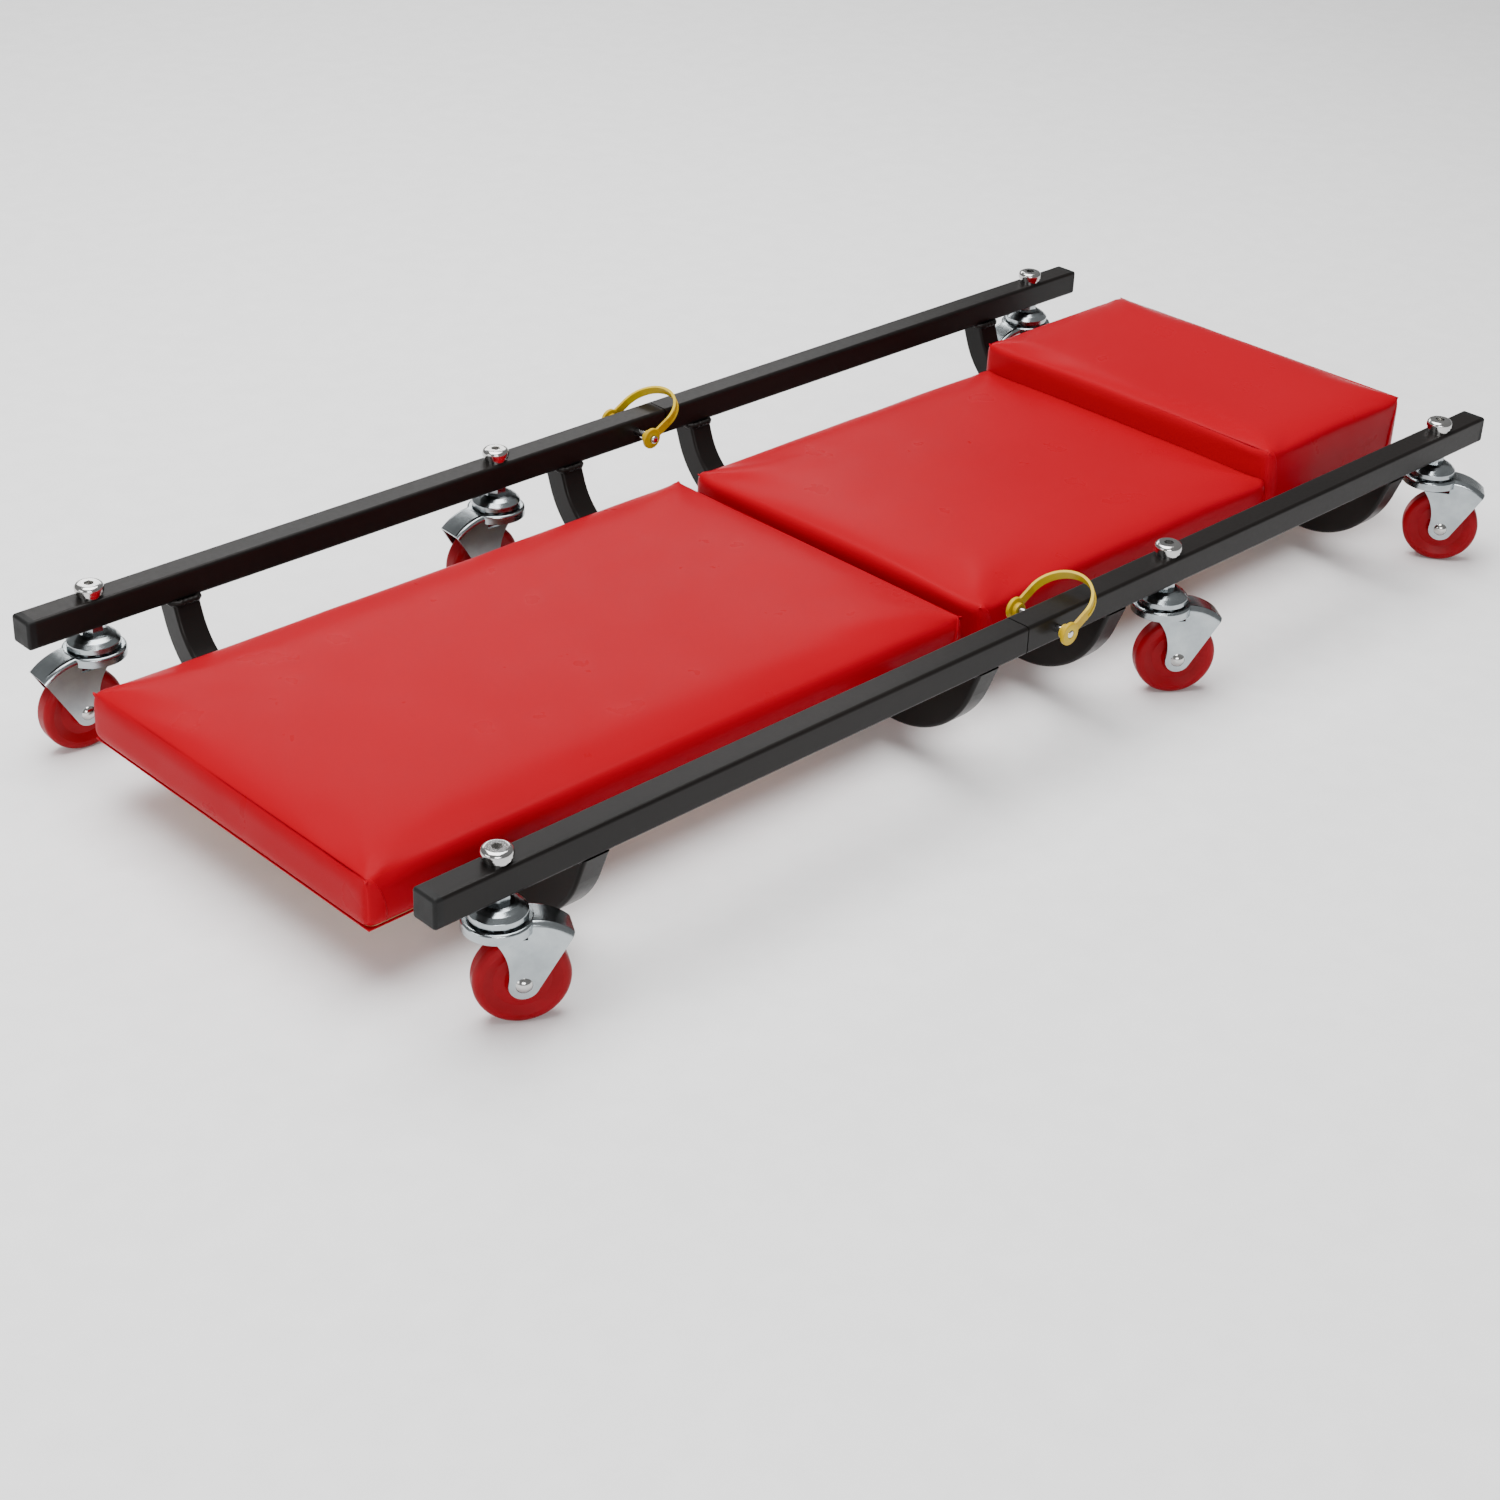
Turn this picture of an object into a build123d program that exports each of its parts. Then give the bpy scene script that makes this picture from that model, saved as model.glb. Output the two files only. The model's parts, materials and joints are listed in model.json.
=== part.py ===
"""Two-piece mechanic's creeper: padded boards on a low tube frame with six swivel casters.

Millimetres. +X runs from the foot end to the head end, +Z is up, and the origin is on the
floor under the middle of the creeper. The frame comes apart at the middle. Each half has a
male rail, with a smaller tube welded in and sticking out, and a female rail that takes the
other half's insert. A snap pin with a moulded strap locks each of the two joints.
"""

from build123d import *
from math import acos, atan2, cos, degrees, hypot, pi, radians, sin, tan
import os

# ---- driving dimensions: the whole creeper --------------------------------------------
LENGTH = 1016.0
WIDTH = 432.0
RAIL_TOP = 106.0

# ---- frame ------------------------------------------------------------------------------
TUBE = 20.0
TUBE_WALL = 1.5
TUBE_CORNER = 2.4
PLUG_CAP = 6.0
PLUG_SPIGOT = 16.0
SEAM_X = 29.0
SEAM_GAP = 1.0
INSERT_SIDE = 16.5
INSERT_OUT = 62.0
INSERT_IN = 62.0

# ---- crossbars: bent square tubes that carry the pads between the rails ----------------
BAR_X = (65.0, 398.5)
BAR_LEAN = 20.5
BAR_BEND = 68.5
BAR_BOTTOM = 23.0
SCREW_Y = 95.0
SCREW_ACCESS = 12.0

# ---- pads -------------------------------------------------------------------------------
PAD_WIDTH = 290.0
PAD_BOTTOM = BAR_BOTTOM + TUBE
PAD_TOP = 82.0
FOOT_PAD = (-507.0, -4.0)
BACK_PAD = (8.5, 334.0)
HEADREST = (334.0, 511.5)
HEADREST_TOP = 105.0
SKIN = 1.2
HEM = 22.0
BOARD = 9.0
BOARD_INSET = 5.0
EDGE_ROUND = 5.0
CORNER_ROUND = 6.0
SEWN = 0.1

# ---- casters ----------------------------------------------------------------------------
CASTER_END_X = 463.0
CASTER_MID_X = 128.0
WHEEL_R = 28.5
WHEEL_WIDTH = 15.0
TRAIL = 13.0
CHEEK = 11.5
FORK_SHEET = 2.0
FORK_TOP = 70.0
FORK_DISC_R = 21.0
FORK_RIM = 6.5
AXLE_R = 3.0
RUNNING = 0.05
STEM_R = 5.5
BOLT_R = 4.0
BALL_R = 3.0
BALL_CIRCLE = 11.5
BALLS = 10

# ---- snap pins --------------------------------------------------------------------------
PIN_R = 3.0
PIN_FIT = 0.08
STRAP_LEAN = 29.0
STRAP_REACH = 42.0
STRAP_OUT = 20.5
STRAP_IN = -26.5
STRAP_BAND = 6.5
STRAP_SHEET = 2.0
EYE_R = 7.9
EYE_SHEET = 3.0

# ---- worked out from the above ----------------------------------------------------------
RAIL_Y = (WIDTH - TUBE) / 2
RAIL_Z = RAIL_TOP - TUBE / 2
RAIL_BOTTOM = RAIL_TOP - TUBE
RAIL_END = LENGTH / 2
AXLE_Z = WHEEL_R

# The frame's halves are the same part turned half a turn about Z.
# Each half: name, side of the middle it lies on, its male rail's side of the centre line.
HALVES = {"foot": -1, "head": 1}

# Each caster: name, bolt position, and the way its wheel trails, in degrees from +X.
CASTERS = (
    ("near_foot", -CASTER_END_X, -RAIL_Y, -30.0),
    ("near_mid", CASTER_MID_X, -RAIL_Y, -36.0),
    ("near_head", CASTER_END_X, -RAIL_Y, -55.0),
    ("far_foot", -CASTER_END_X, RAIL_Y, 176.0),
    ("far_mid", -CASTER_MID_X, RAIL_Y, 176.0),
    ("far_head", CASTER_END_X, RAIL_Y, 176.0),
)

os.makedirs("parts", exist_ok=True)


def save(part, name):
    """Label one finished piece and write it to its own file."""
    part.label = name
    export_step(part, f"parts/{name}.step")


def bolt_spots(half):
    """Bolt positions of the three casters that one half of the frame carries."""
    side = HALVES[half]
    return [
        (side * CASTER_END_X, side * RAIL_Y),
        (side * CASTER_END_X, -side * RAIL_Y),
        (side * CASTER_MID_X, -side * RAIL_Y),
    ]


# ---- frame ------------------------------------------------------------------------------
def make_tube(x_from, x_to, y, side, wall, corner, bolts=(), pin=False):
    """Square tube along X, with vertical bolt holes and, where it is pinned, a cross hole."""
    x_low = min(x_from, x_to)
    with BuildPart() as tube:
        with BuildSketch(Plane.YZ.offset(x_low)):
            with Locations((y, RAIL_Z)):
                RectangleRounded(side, side, corner)
                bore = side - 2 * wall
                RectangleRounded(bore, bore, corner - wall / 2, mode=Mode.SUBTRACT)
        extrude(amount=abs(x_to - x_from))
        if bolts:
            with Locations([(x, y, RAIL_Z) for x in bolts]):
                Cylinder(BOLT_R + 0.25, side + 2, mode=Mode.SUBTRACT)
        if pin:
            with Locations((0, y, RAIL_Z)):
                Cylinder(PIN_R + PIN_FIT, side + 2, rotation=(90, 0, 0), mode=Mode.SUBTRACT)
    return tube.part


def make_plug(y):
    """Moulded end plug: a rounded cap outside the tube's end and a hollow spigot inside it."""
    bore = TUBE - 2 * TUBE_WALL - 0.1
    with BuildPart() as plug:
        with BuildSketch(Plane.YZ.offset(RAIL_END)):
            with Locations((y, RAIL_Z)):
                RectangleRounded(TUBE, TUBE, TUBE_CORNER)
        extrude(amount=PLUG_CAP)
        fillet(plug.faces().sort_by(Axis.X)[-1].edges(), 2.2)
        with BuildSketch(Plane.YZ.offset(RAIL_END)):
            with Locations((y, RAIL_Z)):
                RectangleRounded(bore, bore, TUBE_CORNER - TUBE_WALL / 2 + 0.1)
        extrude(amount=-PLUG_SPIGOT)
        with BuildSketch(Plane.YZ.offset(RAIL_END - PLUG_SPIGOT)):
            with Locations((y, RAIL_Z)):
                Rectangle(bore - 4, bore - 4)
        extrude(amount=PLUG_SPIGOT - 1, mode=Mode.SUBTRACT)
    return plug.part


def make_plugs(side):
    """The two end plugs of one half."""
    pair = [make_plug(-RAIL_Y), make_plug(RAIL_Y)]
    with BuildPart() as plugs:
        for plug in pair:
            add(plug)
    turn = 0 if side > 0 else 180
    return plugs.part.rotate(Axis.Z, turn)


def bar_path(depth):
    """One side of a crossbar's outline, `depth` in from its outside.

    Returns the top of the leaning arm, the top, middle and bottom of the bend, for y > 0.
    """
    lean = radians(BAR_LEAN)
    centre_z = BAR_BOTTOM + BAR_BEND
    reach = BAR_BEND + sin(lean) * (RAIL_BOTTOM - centre_z)
    centre_y = WIDTH / 2 - reach / cos(lean)
    radius = BAR_BEND - depth
    middle = (lean + pi / 2) / 2
    bend = [
        (centre_y + radius * cos(turn), centre_z - radius * sin(turn))
        for turn in (lean, middle, pi / 2)
    ]
    rise = RAIL_BOTTOM - bend[0][1]
    top = (bend[0][0] + rise * tan(lean), RAIL_BOTTOM)
    return [top] + bend


def bar_outline(near_depth, far_depth):
    """Closed outline between two depths, from the near rail, under the pads, to the far rail."""
    tops = []
    for depth in (near_depth, far_depth):
        top, high, middle, low = bar_path(depth)
        for side in (-1, 1):
            Line((side * top[0], top[1]), (side * high[0], high[1]))
            ThreePointArc(
                (side * high[0], high[1]), (side * middle[0], middle[1]), (side * low[0], low[1])
            )
        Line((-low[0], low[1]), (low[0], low[1]))
        tops.append(top)
    for side in (-1, 1):
        Line((side * tops[0][0], tops[0][1]), (side * tops[1][0], tops[1][1]))


def bent_bar(x, wall, corner):
    """Solid bent bar, `wall` inside the crossbar's own outside, with its long edges rounded."""
    side = TUBE - 2 * wall
    with BuildPart() as bar:
        with BuildSketch(Plane.YZ.offset(x - side / 2)):
            with BuildLine():
                bar_outline(wall, TUBE - wall)
            make_face()
        extrude(amount=side)
        long_edges = [
            e for e in bar.faces().filter_by(Axis.X).edges()
            if min(v.Z for v in e.vertices()) < RAIL_BOTTOM - 0.1
        ]
        fillet(long_edges, corner)
    return bar.part


def make_crossbar(x):
    """Square tube, bent down from one rail, across under the pads and up to the other rail."""
    outside = bent_bar(x, 0, TUBE_CORNER)
    bore = bent_bar(x, TUBE_WALL, TUBE_CORNER - TUBE_WALL / 2)
    with BuildPart() as bar:
        add(outside)
        add(bore, mode=Mode.SUBTRACT)
        with Locations([(x, y, PAD_BOTTOM) for y in (-SCREW_Y, SCREW_Y)]):
            Cylinder(2.8, 4 * TUBE_WALL, mode=Mode.SUBTRACT)
        with Locations([(x, y, BAR_BOTTOM) for y in (-SCREW_Y, SCREW_Y)]):
            Cylinder(SCREW_ACCESS / 2, 4 * TUBE_WALL, mode=Mode.SUBTRACT)
    return bar.part


def make_frame():
    for half, side in HALVES.items():
        male, female = ("near", "far") if side < 0 else ("far", "near")
        male_y = side * RAIL_Y
        end = side * RAIL_END
        ends = [side * CASTER_END_X]
        both = [side * CASTER_END_X, side * CASTER_MID_X]
        seam = side * SEAM_X
        male_end = seam + side * SEAM_GAP / 2
        female_end = -seam + side * SEAM_GAP / 2
        save(
            make_tube(male_end, end, male_y, TUBE, TUBE_WALL, TUBE_CORNER, ends),
            f"{male}_rail_{half}",
        )
        save(
            make_tube(female_end, end, -male_y, TUBE, TUBE_WALL, TUBE_CORNER, both, pin=True),
            f"{female}_rail_{half}",
        )
        insert_from = seam + side * INSERT_IN
        insert_to = seam - side * INSERT_OUT
        save(
            make_tube(insert_from, insert_to, male_y, INSERT_SIDE, TUBE_WALL, 1.8, pin=True),
            f"{male}_joint_insert_{half}",
        )
        save(make_plugs(side), f"end_plugs_{half}")
        for place, x in zip(("inner", "outer"), BAR_X):
            save(make_crossbar(side * x), f"crossbar_{place}_{half}")


# ---- pads -------------------------------------------------------------------------------
def make_block(x_span, z_span, inset=0.0, past_end=0.0):
    """Upholstered block with rounded top edges and corners, its skin `inset` from the outside."""
    x_from, x_to = x_span
    z_from, z_to = z_span
    long = x_to - x_from + past_end - 2 * inset
    with BuildPart() as block:
        with BuildSketch(Plane.XY.offset(z_from)):
            with Locations(((x_from + x_to + past_end) / 2, 0)):
                Rectangle(long, PAD_WIDTH - 2 * inset)
        extrude(amount=z_to - z_from)
        fillet(block.edges().filter_by(Axis.Z), CORNER_ROUND - inset)
        fillet(block.faces().sort_by(Axis.Z)[-1].edges(), EDGE_ROUND - inset)
    return block.part


def make_cover(x_span, top, seam_end=False, seam_start=False):
    """Vinyl skin over one pad, turned under the board as a hem, open where it is sewn on."""
    x_from, x_to = x_span
    extra = 30.0
    outer_span = (x_from, x_to + extra) if seam_end else x_span
    outside = make_block(outer_span, (PAD_BOTTOM, top))
    inside = make_block(outer_span, (PAD_BOTTOM + SKIN, top - SKIN), SKIN)
    with BuildPart() as cover:
        add(outside)
        add(inside, mode=Mode.SUBTRACT)
        low_x = x_from + HEM
        high_x = x_to - HEM
        if seam_end:
            high_x = x_to + extra - HEM
        if seam_start:
            low_x = x_from - 1
        with BuildSketch(Plane.XY.offset(PAD_BOTTOM - 1)):
            with Locations(((low_x + high_x) / 2, 0)):
                Rectangle(high_x - low_x, PAD_WIDTH - 2 * HEM)
        extrude(amount=SKIN + 2, mode=Mode.SUBTRACT)
        if seam_end:
            with Locations((x_to + extra, 0, top)):
                Box(2 * extra, 2 * PAD_WIDTH, 4 * top, mode=Mode.SUBTRACT)
        if seam_start:
            with BuildSketch(Plane.XY.offset(PAD_BOTTOM - 1)):
                with Locations((x_from, 0)):
                    Rectangle(2 * SKIN + 14, PAD_WIDTH - 2 * SKIN)
            extrude(amount=PAD_TOP - PAD_BOTTOM + 1, mode=Mode.SUBTRACT)
    return cover.part


def make_foam(x_span, top, seam_end=False, seam_start=False):
    """Foam block between the board and the skin."""
    x_from, x_to = x_span
    extra = 30.0
    outer_span = (x_from, x_to + extra) if seam_end else x_span
    block = make_block(outer_span, (PAD_BOTTOM + SKIN + BOARD, top - SKIN - SEWN), SKIN + SEWN)
    with BuildPart() as foam:
        add(block)
        if seam_end:
            with Locations((x_to + extra, 0, top)):
                Box(2 * extra, 2 * PAD_WIDTH, 4 * top, mode=Mode.SUBTRACT)
    return foam.part


def make_board(x_span):
    """Plywood board inside the cover, drilled for the screws that come up from the crossbars."""
    x_from, x_to = x_span
    with BuildPart() as board:
        with BuildSketch(Plane.XY.offset(PAD_BOTTOM + SKIN)):
            with Locations(((x_from + x_to) / 2, 0)):
                long = x_to - x_from - 2 * BOARD_INSET
                RectangleRounded(long, PAD_WIDTH - 2 * BOARD_INSET, CORNER_ROUND)
        extrude(amount=BOARD)
        side = -1 if x_from < 0 else 1
        spots = [(side * x, y, PAD_BOTTOM) for x in BAR_X for y in (-SCREW_Y, SCREW_Y)]
        with Locations(spots):
            Cylinder(2.55, 10.5, align=(Align.CENTER, Align.CENTER, Align.MIN), mode=Mode.SUBTRACT)
    return board.part


def make_screws(side):
    """Pan-head wood screws inside the crossbars, driven up into the board."""
    head_top = PAD_BOTTOM - TUBE_WALL
    spots = [(side * x, y, head_top - 2.6) for x in BAR_X for y in (-SCREW_Y, SCREW_Y)]
    upward = (Align.CENTER, Align.CENTER, Align.MIN)
    with BuildPart() as screws:
        with Locations(spots):
            Cylinder(4.8, 2.6, align=upward)
            Cylinder(2.5, 13.5, align=upward)
        fillet(screws.edges().filter_by(GeomType.CIRCLE).group_by(Axis.Z)[0], 1.4)
        with Locations(spots):
            Box(4.6, 0.9, 2.4, mode=Mode.SUBTRACT)
            Box(0.9, 4.6, 2.4, mode=Mode.SUBTRACT)
    return screws.part


def make_pads():
    save(make_board(FOOT_PAD), "board_foot")
    save(make_foam(FOOT_PAD, PAD_TOP), "foam_foot")
    save(make_cover(FOOT_PAD, PAD_TOP), "cover_foot")
    save(make_board((BACK_PAD[0], HEADREST[1])), "board_head")
    save(make_foam(BACK_PAD, PAD_TOP, seam_end=True), "foam_back")
    save(make_cover(BACK_PAD, PAD_TOP, seam_end=True), "cover_back")
    save(make_foam(HEADREST, HEADREST_TOP), "foam_headrest")
    save(make_cover(HEADREST, HEADREST_TOP, seam_start=True), "cover_headrest")
    save(make_screws(-1), "board_screws_foot")
    save(make_screws(1), "board_screws_head")


# ---- casters ----------------------------------------------------------------------------
WASHER = 2.0
HEAD_R = 9.6
HEAD_HIGH = 5.0
HEX_TOP = RAIL_BOTTOM
HEX_BOTTOM = 80.6
RACE_R = 17.6


def make_bolt():
    """Button-head bolt on the Z axis, with a hexagon socket."""
    head_z = RAIL_TOP + 2 * WASHER
    with BuildPart() as bolt:
        with Locations((0, 0, head_z)):
            Cylinder(HEAD_R, HEAD_HIGH, align=(Align.CENTER, Align.CENTER, Align.MIN))
        fillet(bolt.edges().filter_by(GeomType.CIRCLE).group_by(Axis.Z)[-1], 3.2)
        with Locations((0, 0, head_z)):
            shank = head_z - FORK_TOP - 1
            Cylinder(BOLT_R, shank, align=(Align.CENTER, Align.CENTER, Align.MAX))
        with BuildSketch(Plane.XY.offset(head_z + HEAD_HIGH)):
            RegularPolygon(3.6, 6)
        extrude(amount=-3.2, mode=Mode.SUBTRACT)
    return bolt.part


def make_bolts(half):
    """Bolts down through the rails into the casters' hollow stems."""
    bolt = make_bolt()
    with BuildPart() as bolts:
        for x, y in bolt_spots(half):
            add(bolt.moved(Location((x, y, 0))))
    return bolts.part


def make_washers(half):
    """A flat washer on the rail and a wider split washer under each bolt head."""
    with BuildPart() as washers:
        for x, y in bolt_spots(half):
            with BuildSketch(Plane.XY.offset(RAIL_TOP)):
                with Locations((x, y)):
                    Circle(7.8)
                    Circle(BOLT_R + 0.2, mode=Mode.SUBTRACT)
            extrude(amount=WASHER - 0.02)
            with BuildSketch(Plane.XY.offset(RAIL_TOP + WASHER)):
                with Locations((x, y)):
                    Circle(8.9)
                    Circle(BOLT_R + 0.2, mode=Mode.SUBTRACT)
                    Rectangle(0.8, 20, align=(Align.CENTER, Align.MIN), mode=Mode.SUBTRACT)
            extrude(amount=WASHER)
    return washers.part


def make_stems(half):
    """Hollow kingpins: a hexagon against the rail, a stem, and a riveted head under the fork."""
    with BuildPart() as stems:
        for x, y in bolt_spots(half):
            with BuildSketch(Plane.XY.offset(HEX_BOTTOM)):
                with Locations((x, y)):
                    RegularPolygon(6.5, 6, major_radius=False)
            extrude(amount=HEX_TOP - HEX_BOTTOM)
            with Locations((x, y, HEX_BOTTOM)):
                stem = HEX_BOTTOM - FORK_TOP + 5
                Cylinder(STEM_R, stem, align=(Align.CENTER, Align.CENTER, Align.MAX))
            under = FORK_TOP - FORK_SHEET - 0.4
            with Locations((x, y, under)):
                Cone(5.6, 8.5, 3.0, align=(Align.CENTER, Align.CENTER, Align.MAX))
            with Locations((x, y, HEX_TOP)):
                deep = HEX_TOP - FORK_TOP - 0.6
                Cylinder(
                    BOLT_R + 0.03, deep, align=(Align.CENTER, Align.CENTER, Align.MAX), mode=Mode.SUBTRACT
                )
    return stems.part


def make_races(half):
    """Domed upper ball races, gripped between the stem's hexagon and the balls."""
    hole = STEM_R + 0.03
    outside = [(9.6, HEX_BOTTOM), (12.0, 79.5), (14.9, 77.6), (RACE_R, 74.8)]
    inside = [(15.2, 71.4), (15.2, 73.9), (14.2, 75.1), (12.2, 75.62), (9.4, 75.9), (7.4, 77.6)]
    soft = [(round(r, 1), round(z, 1)) for r, z in outside]
    with BuildPart() as races:
        for x, y in bolt_spots(half):
            with BuildSketch(Plane(origin=(x, y, 0), x_dir=(1, 0, 0), z_dir=(0, -1, 0))) as ring:
                with BuildLine():
                    Polyline(
                        (hole, HEX_BOTTOM), *outside, (RACE_R, 71.4), *inside, (hole, 77.6),
                        close=True,
                    )
                make_face()
                fillet([v for v in ring.vertices() if (round(v.X, 1), round(v.Y, 1)) in soft], 1.0)
            revolve(axis=Axis((x, y, 0), (0, 0, 1)))
    return races.part


def make_balls(half):
    """Ball rings between the upper races and the forks."""
    with BuildPart() as balls:
        for x, y in bolt_spots(half):
            with Locations((x, y, FORK_TOP + BALL_R - 0.5)):
                with PolarLocations(BALL_CIRCLE, BALLS):
                    Sphere(BALL_R - 0.06)
    return balls.part


def make_fork():
    """Pressed fork: a round top with a rim, a sloping hood behind, and two cheeks.

    It is made with its swivel axis on Z and the wheel trailing along +X.
    """
    boss_r = 9.0
    hood_from = 15.0
    tail = (42.0, 59.4)
    slope = 2 * atan2(FORK_TOP - tail[1], tail[0] - hood_from)
    hood_r = (tail[0] - hood_from) / sin(slope)
    heel = (39.4, 55.4)
    reach = hypot(heel[0] - TRAIL, heel[1] - AXLE_Z)
    toward = degrees(atan2(heel[1] - AXLE_Z, heel[0] - TRAIL))
    touch = radians(toward - degrees(acos(boss_r / reach)))
    back = (TRAIL + boss_r * cos(touch), AXLE_Z + boss_r * sin(touch))
    front = (TRAIL - boss_r * cos(radians(14)), AXLE_Z + boss_r * sin(radians(14)))
    rim_z = FORK_TOP - FORK_RIM
    with BuildPart() as disc:
        with Locations((0, 0, rim_z)):
            Cylinder(FORK_DISC_R, FORK_RIM, align=(Align.CENTER, Align.CENTER, Align.MIN))
        fillet(disc.faces().sort_by(Axis.Z)[-1].edges(), 1.9)
    with BuildPart() as fork:
        with BuildSketch(Plane.XZ):
            with BuildLine():
                Line((-8, FORK_TOP), (hood_from, FORK_TOP))
                TangentArc((hood_from, FORK_TOP), tail, tangent=(1, 0))
                Line(tail, heel)
                Line(heel, back)
                ThreePointArc(back, (TRAIL - 1, AXLE_Z - boss_r * 0.994), front)
                ThreePointArc(front, (3.4, 45.5), (-8, rim_z))
                Line((-8, rim_z), (-8, FORK_TOP))
            make_face()
        extrude(amount=CHEEK, both=True)
        hood = [e for e in fork.edges() if e.center().Z > 60 and e.center().X > 20 and abs(e.center().Y) > 11]
        fillet(hood, 4.0)
        add(disc.part)
        with Locations((0, 0, rim_z)):
            bowl = FORK_RIM - FORK_SHEET
            Cylinder(
                FORK_DISC_R - FORK_SHEET, 2 * bowl, align=(Align.CENTER, Align.CENTER, Align.CENTER),
                mode=Mode.SUBTRACT,
            )
        with BuildSketch(Plane.XZ):
            with BuildLine():
                under = FORK_TOP - FORK_SHEET
                thin = (hood_r - FORK_SHEET) * sin(slope)
                lip = (hood_from + thin, under - thin * (FORK_TOP - tail[1]) / (tail[0] - hood_from))
                past = (lip[0] + 8 * cos(slope), lip[1] - 8 * sin(slope))
                Polyline((-15.5, 0), (-15.5, under), (hood_from, under))
                TangentArc((hood_from, under), lip, tangent=(1, 0))
                Polyline(lip, past, (past[0], 0), (-15.5, 0))
            make_face()
        extrude(amount=CHEEK - FORK_SHEET, both=True, mode=Mode.SUBTRACT)
        with Locations((0, 0, FORK_TOP)):
            Cylinder(STEM_R + 0.08, 20, mode=Mode.SUBTRACT)
        with Locations((0, 0, FORK_TOP + BALL_R - 0.5)):
            Torus(BALL_CIRCLE, BALL_R + 0.06, mode=Mode.SUBTRACT)
        with Locations((TRAIL, 0, AXLE_Z)):
            Cylinder(AXLE_R + 0.02, 3 * CHEEK, rotation=(90, 0, 0), mode=Mode.SUBTRACT)
    return fork.part


def make_axle_head(side):
    """Domed head of the axle, outside one cheek."""
    head_r = 5.0
    head = 2.6
    dome = (head_r**2 + head**2) / (2 * head)
    with BuildPart() as cap:
        with Locations((TRAIL, side * (CHEEK + head - dome), AXLE_Z)):
            Sphere(dome)
        with Locations((TRAIL, side * (CHEEK + dome), AXLE_Z)):
            Cylinder(2 * dome, 2 * dome, rotation=(90, 0, 0), mode=Mode.INTERSECT)
    return cap.part


def make_axle():
    """Riveted axle with a domed head outside each cheek."""
    heads = [make_axle_head(-1), make_axle_head(1)]
    with BuildPart() as axle:
        with Locations((TRAIL, 0, AXLE_Z)):
            Cylinder(AXLE_R, 2 * CHEEK, rotation=(90, 0, 0))
        for head in heads:
            add(head)
    return axle.part


def make_wheel():
    """Moulded wheel: rounded tread, recessed web and a hub bored for the bush."""
    half = WHEEL_WIDTH / 2
    bore = 5.02
    outline = [
        (bore, -9.2), (9.0, -9.2), (10.4, -5.9), (17.0, -5.5), (22.8, -half), (WHEEL_R, -half),
        (WHEEL_R, half), (22.8, half), (17.0, 5.5), (10.4, 5.9), (9.0, 9.2), (bore, 9.2),
    ]
    with BuildPart() as wheel:
        with BuildSketch(Plane.XY.offset(AXLE_Z)) as section:
            with BuildLine():
                Polyline(*[(TRAIL + r, w) for r, w in outline], close=True)
            make_face()
            tread = [v for v in section.vertices() if v.X > TRAIL + WHEEL_R - 0.1]
            fillet(tread, 4.2)
            web = [v for v in section.vertices() if TRAIL + 16 < v.X < TRAIL + 23]
            fillet(web, 1.2)
        revolve(axis=Axis((TRAIL, 0, AXLE_Z), (0, 1, 0)))
    return wheel.part


def make_bush():
    """Plain bush pressed into the wheel, running on the axle."""
    with BuildPart() as bush:
        with Locations((TRAIL, 0, AXLE_Z)):
            Cylinder(5.0, 18.8, rotation=(90, 0, 0))
            Cylinder(AXLE_R + RUNNING, 20, rotation=(90, 0, 0), mode=Mode.SUBTRACT)
    return bush.part


def make_casters():
    for half in HALVES:
        save(make_bolts(half), f"caster_bolts_{half}")
        save(make_washers(half), f"caster_washers_{half}")
        save(make_stems(half), f"caster_stems_{half}")
        save(make_races(half), f"caster_races_{half}")
        save(make_balls(half), f"caster_balls_{half}")
    pieces = {"fork": make_fork(), "axle": make_axle(), "wheel": make_wheel(), "bush": make_bush()}
    for name, x, y, way in CASTERS:
        for kind, piece in pieces.items():
            save(piece.moved(Location((x, y, 0), (0, 0, way))), f"{kind}_{name}")


# ---- snap pins --------------------------------------------------------------------------
def make_pin(side):
    """Steel lock pin through both tubes, with a groove near its tip for the strap's eye."""
    tip = STRAP_IN - EYE_SHEET / 2 - 3.2
    tail = STRAP_OUT + EYE_SHEET / 2 + 0.4
    with BuildPart() as pin:
        with BuildSketch(Plane.YZ) as section:
            with BuildLine():
                Polyline(
                    (tip, 0), (tip, PIN_R), (STRAP_IN - EYE_SHEET / 2, PIN_R),
                    (STRAP_IN - EYE_SHEET / 2, PIN_R - 0.6), (STRAP_IN + EYE_SHEET / 2, PIN_R - 0.6),
                    (STRAP_IN + EYE_SHEET / 2, PIN_R), (tail, PIN_R), (tail, 0), close=True,
                )
            make_face()
            ends = [v for v in section.vertices() if v.Y > 2.9 and (v.X < tip + 0.1 or v.X > tail - 0.1)]
            fillet(ends, 1.6)
        revolve(axis=Axis.Y)
    turned = pin.part if side > 0 else pin.part.mirror(Plane.XZ)
    return turned.moved(Location((0, side * RAIL_Y, RAIL_Z)))


def make_eye(arm, boss_to):
    """Round eye at one end of the strap, with a boss round the pin."""
    with BuildPart() as eye:
        with Locations((0, arm, 0)):
            Cylinder(EYE_R, EYE_SHEET, rotation=(90, 0, 0))
        fillet(eye.edges().filter_by(GeomType.CIRCLE), 0.9)
        with Locations((0, (arm + boss_to) / 2, 0)):
            Cylinder(5.0, abs(boss_to - arm), rotation=(90, 0, 0))
    return eye.part


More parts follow.
